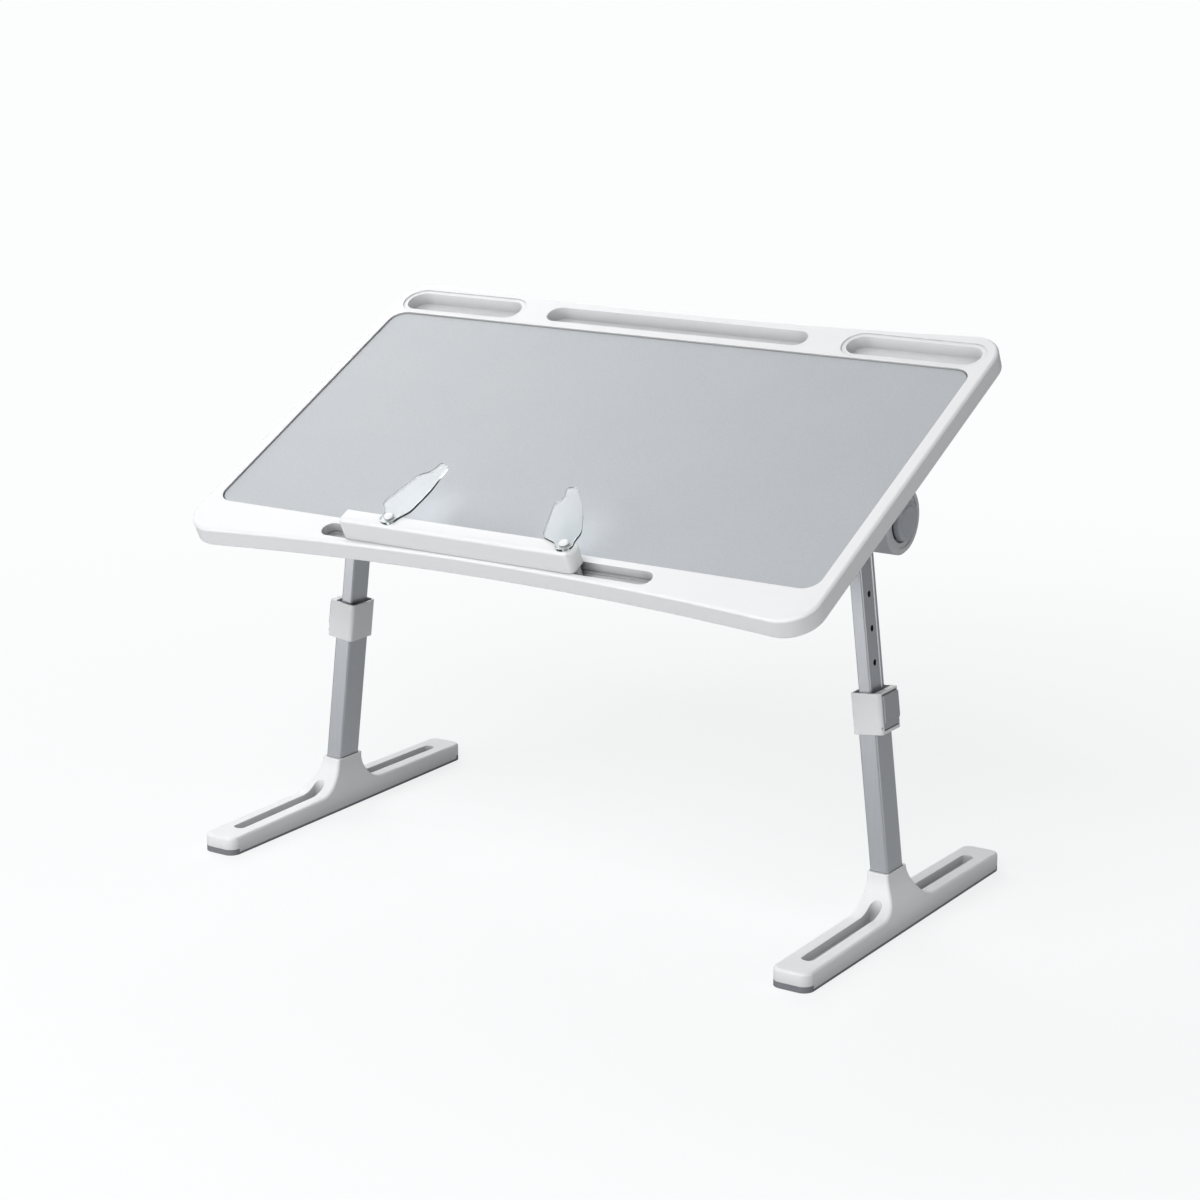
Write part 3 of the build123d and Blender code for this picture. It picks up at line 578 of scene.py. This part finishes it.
# from the rivet end, up the right edge to the tip and down the left edge past its shoulder
CLIP_OUTLINE = [
    (-7.5, -7.5), (7.5, -7.5), (7.5, 3), (11, 13), (6, 42), (-6, 74), (-15, 74), (-14, 61),
    (-21, 53), (-21, 12), (-7.5, 2),
]
CLIP_CORNERS = (7.4, 7.4, 3.0, 4.0, 8.0, 3.2, 3.2, 4.0, 4.0, 4.0, 3.0)
CLIP_THICKNESS = 2.0
CLIP_HEIGHT = 20.8
BEAD_WIDTH = 1.2
BEAD_HEIGHT = 0.5
RIVET_RADIUS = 2.05
# each clip's side, the place of its rivet along the stop, and how far it leans to the left
CLIPS = (("left", -87.0, -14.0), ("right", 82.0, 18.0))

SCREW_COLUMNS = (-281.0, -140.5, 0.0, 140.5, 281.0)
SCREW_ROWS = (-136.0, 136.0)
RECESS_ARM = 1.7
RECESS_HALF_WIDTH = 0.45
RECESS_DEPTH = (-18, -16.1)


def make_stop(materials):
    """the book stop's bar, trimmed to the rounded ends that the moulded part has"""
    stop = copy_of("book_stop", "book_stop_bar")
    plan = block(
        rectangle(STOP_MIDDLE, SLOT_LINE, STOP_LENGTH, STOP_WIDTH),
        STOP_BOTTOM, STOP_TOP + OVERSHOOT, STOP_PLAN_CORNER,
    )
    height = STOP_TOP - STOP_BOTTOM
    ends = block(
        rectangle(STOP_MIDDLE, STOP_BOTTOM + height / 2, STOP_LENGTH, height),
        -SLOT_LINE - STOP_WIDTH, -SLOT_LINE + STOP_WIDTH,
        (0.0, 0.0, STOP_END_CORNER, STOP_END_CORNER),
    )
    carve(
        stop,
        ("INTERSECT", finished("plan", [plan], TOP_PLACE)),
        ("INTERSECT", finished("ends", [ends], TOP_PLACE @ ALONG_Y)),
    )
    fit(stop, materials, "white_abs", "stop", "book_stop")


def make_clips(materials):
    """clear paddles with a raised bead round their edge, a shoulder on the left and a rivet hole"""
    for side, rivet, lean in CLIPS:
        plate = block(CLIP_OUTLINE, 0, CLIP_THICKNESS, CLIP_CORNERS)
        top = max(plate.faces, key=lambda face: face.calc_center_median().z)
        bmesh.ops.inset_region(
            plate, faces=[top], thickness=BEAD_WIDTH * MM, use_even_offset=True
        )
        bmesh.ops.translate(plate, vec=(0, 0, -BEAD_HEIGHT * MM), verts=top.verts)
        place = TOP_PLACE @ moved(rivet, SLOT_LINE, CLIP_HEIGHT) @ rotated(lean, "Z")
        clip = finished(f"clear_clip_{side}", [plate], place)
        hole = rod(RIVET_RADIUS, -OVERSHOOT, CLIP_THICKNESS + 2 * OVERSHOOT)
        carve(clip, ("DIFFERENCE", finished("rivet_hole", [hole], place)))
        fit(clip, materials, "clear_plastic", f"clip_{side}", f"page_clip_{side}")


def make_screws(materials):
    """cross recesses in the heads of the ten screws under the top"""
    screws = copy_of("cover_screws", "cross_head_screws")
    arm, half = RECESS_ARM, RECESS_HALF_WIDTH
    cross = [(half, half), (arm, half), (arm, -half), (half, -half), (half, -arm), (-half, -arm)]
    cross += [(-x, -y) for x, y in cross]
    recesses = [
        block([(column + x, row + y) for x, y in cross], *RECESS_DEPTH)
        for column in SCREW_COLUMNS for row in SCREW_ROWS
    ]
    carve(screws, ("DIFFERENCE", finished("recesses", recesses, TOP_PLACE)))
    fit(screws, materials, "steel", "top", "cover_screws")


# Lock buttons and their springs, in the hinge drums

# each point's radius and its distance from the table's middle: behind, the skirt, the brim, the
# thumb ring, and the flat in its middle
BUTTON_FACE = [
    (0, 289.1), (8.6, 289.1), (8.9, 287.0), (14.4, 287.0), (14.6, 284.1), (16.6, 284.1),
    (16.6, 287.6), (16.3, 288.4), (15.5, 288.8), (12.6, 288.8), (12.2, 289.0), (11.9, 289.7),
    (11.3, 290.0), (9.7, 290.0), (9.1, 289.7), (8.6, 289.5), (0, 289.5),
]
PRONGS_RADIUS = 16.2
PRONGS_START = 200
PRONGS_END = 287.6


def make_button(materials, side):
    """the lock button's face with a raised ring for the thumb, on the solid part's own prongs"""
    place = on(side, DRUM_PLACE)
    button = copy_of(f"lock_button_{side}", "prongs")
    trim = finished("trim", [rod(PRONGS_RADIUS, PRONGS_START, PRONGS_END)], place)
    carve(button, ("INTERSECT", trim))
    prongs = bmesh.new()
    prongs.from_mesh(button.data)
    bpy.data.objects.remove(button)
    face = turned(BUTTON_FACE)
    bmesh.ops.transform(face, matrix=place, verts=face.verts)
    merge(face)
    piece = finished(f"thumb_button_{side}", [prongs, face], outwards=False)
    fit(piece, materials, "button_grey", f"button_{side}", f"lock_button_{side}")


def make_spring(materials, side):
    """the coil behind the button, copied with a mesh of its own; nothing here shortens it when the
    button is pressed
    """
    spring = copy_of(f"button_spring_{side}", f"coil_spring_{side}")
    fit(spring, materials, "steel", "top", f"button_spring_{side}")
    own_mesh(spring)


# Tubes, collars, latches and feet, on the legs

# the track's floor and mouth on the outer face, and how wide each is
TRACK = [(4.9, -6.8), (6.5, -8.6), (6.5, 8.6), (4.9, 6.8)]
TRACK_BOTTOM = -200

COLLAR_MIDDLE = 2.0
COLLAR_WIDTH = 27.0
COLLAR_DEPTH = 32.0
COLLAR_BOTTOM = -176.0
COLLAR_TOP = -142.0
COLLAR_CORNER = 3.4
COLLAR_RIM = 0.45
# each cut's name, middle and width across the leg, depth along the foot, bottom and top along the
# leg, and corner radius
COLLAR_CUTS = (
    ("mouth", 0, 19.8, 28.8, -147.8, -140, 2.0),
    ("bore", 0, 11.5, 24.0, -160, -140, 1.6),
    ("seat", 0, 16.6, 26.7, -178, -157, 2.1),
    ("pocket", 14.2, 6.0, 24.6, -173.2, -143.6, 0.0),
    ("window", 6, 14.0, 5.0, -151.8, -144.2, 0.0),
)

PIN_PLACE = moved(13.8, 0, -170.6) @ ALONG_Y
PIN_RADIUS = 1.25
PIN_REACH = 14.9

# from the foot of the back, out to the lower step and up the proud face
LATCH_OUTLINE = [
    (11.5, -172.9), (15.7, -172.9), (15.7, -168.5), (17.3, -166), (17.3, -144.6), (11.5, -144.6),
]
LATCH_CORNERS = (2.2, 1.8, 1.5, 1.5, 1.6, 0.0)
LATCH_HALF_DEPTH = 12
LATCH_FACE = 16.5
LATCH_SOFTENING = 0.6
PEG_PLACE = moved(0, 0, -148) @ ALONG_X
PEG_RADIUS = 2.2
PEG_START = 5.95
PEG_END = 13.0

FOOT_X = 283.9
FOOT_Y = 8.97
GROOVE_WIDTH = 11.0
GROOVE_CORNER = 5.0
GROOVE_FLOOR = 9.1
GROOVE_TOP = 60
GROOVE_END = 143.4
# where each groove starts, past the neck, and which way it runs
GROOVES = (("front", 24.0, -1), ("rear", 38.4, 1))


def make_tube(materials, side):
    """upper tube with the shallow track that its height holes lie in"""
    tube = copy_of(f"upper_tube_{side}", f"tracked_tube_{side}")
    track = finished("track", [block(TRACK, TRACK_BOTTOM, 0)], on(side, LEG_PLACE))
    carve(tube, ("DIFFERENCE", track))
    fit(tube, materials, "tube_aluminium", f"upper_leg_{side}", f"upper_tube_{side}")


def make_collar(materials, side):
    """collar with a deep, thin-walled mouth and an open pocket for the latch, under a thin bar"""
    place = on(side, LEG_PLACE)
    plan = rectangle(COLLAR_MIDDLE, 0, COLLAR_WIDTH, COLLAR_DEPTH)
    body = block(plan, COLLAR_BOTTOM, COLLAR_TOP, COLLAR_CORNER)
    rims = [
        edge for edge in body.edges
        if abs(edge.verts[0].co.z - edge.verts[1].co.z) < MERGE_GAP
    ]
    round_off(body, rims, "EDGES", radius=COLLAR_RIM, steps=2)
    collar = finished(f"height_collar_{side}", [body], place)
    tools = [
        finished(name, [block(rectangle(x, 0, width, depth), low, high, corner)], place)
        for name, x, width, depth, low, high, corner in COLLAR_CUTS
    ]
    pin_hole = rod(PIN_RADIUS, -PIN_REACH, PIN_REACH)
    tools.append(finished("pin_hole", [pin_hole], place @ PIN_PLACE))
    carve(collar, *[("DIFFERENCE", tool) for tool in tools])
    fit(collar, materials, "white_abs", f"lower_leg_{side}", f"collar_{side}")


def make_latch(materials, side):
    """flip latch: a proud lever with softened edges, its barrel on the pin and its peg behind"""
    place = on(side, LEG_PLACE)
    lever = block(LATCH_OUTLINE, -LATCH_HALF_DEPTH, LATCH_HALF_DEPTH, LATCH_CORNERS)
    face_edges = [
        edge for edge in lever.edges
        if min(point.co.x for point in edge.verts) > LATCH_FACE * MM
    ]
    round_off(lever, face_edges, "EDGES", radius=LATCH_SOFTENING, steps=3)
    latch = finished(f"flip_latch_{side}", [lever], place @ ALONG_Y)
    peg = finished("peg", [rod(PEG_RADIUS, PEG_START, PEG_END)], place @ PEG_PLACE)
    reach = LATCH_HALF_DEPTH + OVERSHOOT
    pin_hole = finished("pin_hole", [rod(PIN_RADIUS, -reach, reach)], place @ PIN_PLACE)
    carve(latch, ("UNION", peg), ("DIFFERENCE", pin_hole))
    fit(latch, materials, "latch_grey", f"latch_{side}", f"collar_latch_{side}")


def make_foot(materials, side):
    """T foot with the full width of its grooves"""
    foot = copy_of(f"foot_{side}", f"grooved_foot_{side}")
    x = FOOT_X if side == "right" else -FOOT_X
    tools = []
    for name, start, way in GROOVES:
        plan = rectangle(
            x, FOOT_Y + way * (start + GROOVE_END) / 2, GROOVE_WIDTH, GROOVE_END - start
        )
        tools.append(finished(name, [block(plan, GROOVE_FLOOR, GROOVE_TOP, GROOVE_CORNER)]))
    carve(foot, *[("DIFFERENCE", tool) for tool in tools])
    fit(foot, materials, "foot_abs", f"lower_leg_{side}", f"foot_{side}")


def make_pieces(materials):
    """every piece whose form is fuller than its solid part"""
    make_stop(materials)
    make_clips(materials)
    make_screws(materials)
    for side in SIDES:
        make_button(materials, side)
        make_spring(materials, side)
        make_tube(materials, side)
        make_collar(materials, side)
        make_latch(materials, side)
        make_foot(materials, side)


# Stage: floor, world and lamps

STUDIO_WHITE = "FCFEFE"
REFLECTED_SHARE = 0.2
FLOOR_RADIUS = 40.0
FLOOR_STEPS = 96
FLOOR_GAP = 0.1 * MM

LAMP_AIM = (0.0, 0.0, 0.3)
# each lamp's name, place, width, height and watts
LAMPS = (
    ("softbox_left", (-2.9, 0.7, 2.6), 2.2, 2.2, 30),
    ("softbox_rear_left", (-2.2, 2.4, 2.2), 2.4, 2.4, 54),
    ("softbox_front_low", (-1.75, -2.75, 0.45), 2.4, 0.85, 34),
    ("softbox_front_high", (0.2, -2.6, 2.4), 2.6, 2.6, 84),
    ("softbox_right_high", (2.2, 0.3, 3.0), 2.4, 2.4, 5),
    ("softbox_right_low", (2.8, -0.6, 0.9), 2.0, 1.6, 17),
)


def white_share(tree):
    """1 for what the camera sees straight or through clear plastic, less for reflections"""
    path = add_node(tree, "ShaderNodeLightPath", {})
    glossy = add_node(
        tree, "ShaderNodeMath", {"operation": "MULTIPLY", 1: REFLECTED_SHARE},
        {0: path.outputs["Is Glossy Ray"]},
    )
    through = add_node(
        tree, "ShaderNodeMath", {"operation": "MAXIMUM"},
        {0: path.outputs["Is Camera Ray"], 1: path.outputs["Is Transmission Ray"]},
    )
    seen = add_node(
        tree, "ShaderNodeMath", {"operation": "MAXIMUM"},
        {0: through.outputs[0], 1: glossy.outputs[0]},
    )
    return seen.outputs[0]


def pale_floor():
    """a lit floor near the table, with its soft shadow, that fades to plain white further off"""
    material, tree, output, place = new_material("pale_floor")
    seen = white_share(tree)
    away = add_node(tree, "ShaderNodeVectorMath", {"operation": "LENGTH"}, {0: place})
    far = add_node(
        tree, "ShaderNodeMapRange",
        {"interpolation_type": "SMOOTHSTEP", "From Min": 0.5, "From Max": 1.6},
        {"Value": away.outputs["Value"]},
    )
    white = linear(STUDIO_WHITE)
    lit = add_node(tree, "ShaderNodeBsdfDiffuse", {"Color": linear("8A8B8C")})
    glow = add_node(tree, "ShaderNodeEmission", {"Color": white, "Strength": 0.76})
    near_floor = add_node(
        tree, "ShaderNodeAddShader", {}, {0: lit.outputs[0], 1: glow.outputs[0]}
    )
    far_floor = add_node(tree, "ShaderNodeEmission", {"Color": white, "Strength": 1.0})
    shown = add_node(
        tree, "ShaderNodeMixShader", {},
        {0: far.outputs[0], 1: near_floor.outputs[0], 2: far_floor.outputs[0]},
    )
    bounce = add_node(tree, "ShaderNodeBsdfDiffuse", {"Color": linear("ADAEAF")})
    surface = add_node(
        tree, "ShaderNodeMixShader", {}, {0: seen, 1: bounce.outputs[0], 2: shown.outputs[0]}
    )
    tree.links.new(surface.outputs[0], output.inputs["Surface"])
    return material


def set_floor():
    """a wide round floor just under the soles"""
    shape = bmesh.new()
    bmesh.ops.create_circle(shape, cap_ends=True, segments=FLOOR_STEPS, radius=FLOOR_RADIUS)
    mesh = bpy.data.meshes.new("floor")
    shape.to_mesh(mesh)
    shape.free()
    mesh.materials.append(pale_floor())
    floor = bpy.data.objects.new("floor", mesh)
    floor.location.z = -FLOOR_GAP
    bpy.context.scene.collection.objects.link(floor)


def set_world():
    """a white surround that gives the object only a very little light"""
    world = bpy.data.worlds.new("studio")
    world.use_nodes = True
    tree = world.node_tree
    tree.nodes.clear()
    seen = white_share(tree)
    soft = add_node(
        tree, "ShaderNodeBackground", {"Color": linear("FFFFFF"), "Strength": 0.03}
    )
    surround = add_node(
        tree, "ShaderNodeBackground", {"Color": linear(STUDIO_WHITE), "Strength": 1.0}
    )
    mixed = add_node(
        tree, "ShaderNodeMixShader", {}, {0: seen, 1: soft.outputs[0], 2: surround.outputs[0]}
    )
    add_node(tree, "ShaderNodeOutputWorld", {}, {"Surface": mixed.outputs[0]})
    bpy.context.scene.world = world


def set_lamps():
    """soft lamps that the camera doesn't see, strongest in front and at the rear left"""
    for name, place, width, height, watts in LAMPS:
        data = bpy.data.lights.new(name, "AREA")
        data.shape = "RECTANGLE"
        data.size = width
        data.size_y = height
        data.energy = watts
        lamp = bpy.data.objects.new(name, data)
        lamp.location = place
        towards = Vector(LAMP_AIM) - Vector(place)
        lamp.rotation_euler = towards.to_track_quat("-Z", "Y").to_euler()
        lamp.visible_camera = False
        bpy.context.scene.collection.objects.link(lamp)


set_camera()
set_floor()
set_world()
set_lamps()
bpy.context.scene.view_settings.view_transform = "Standard"
materials = make_materials()
dress_frame(materials)
make_pieces(materials)
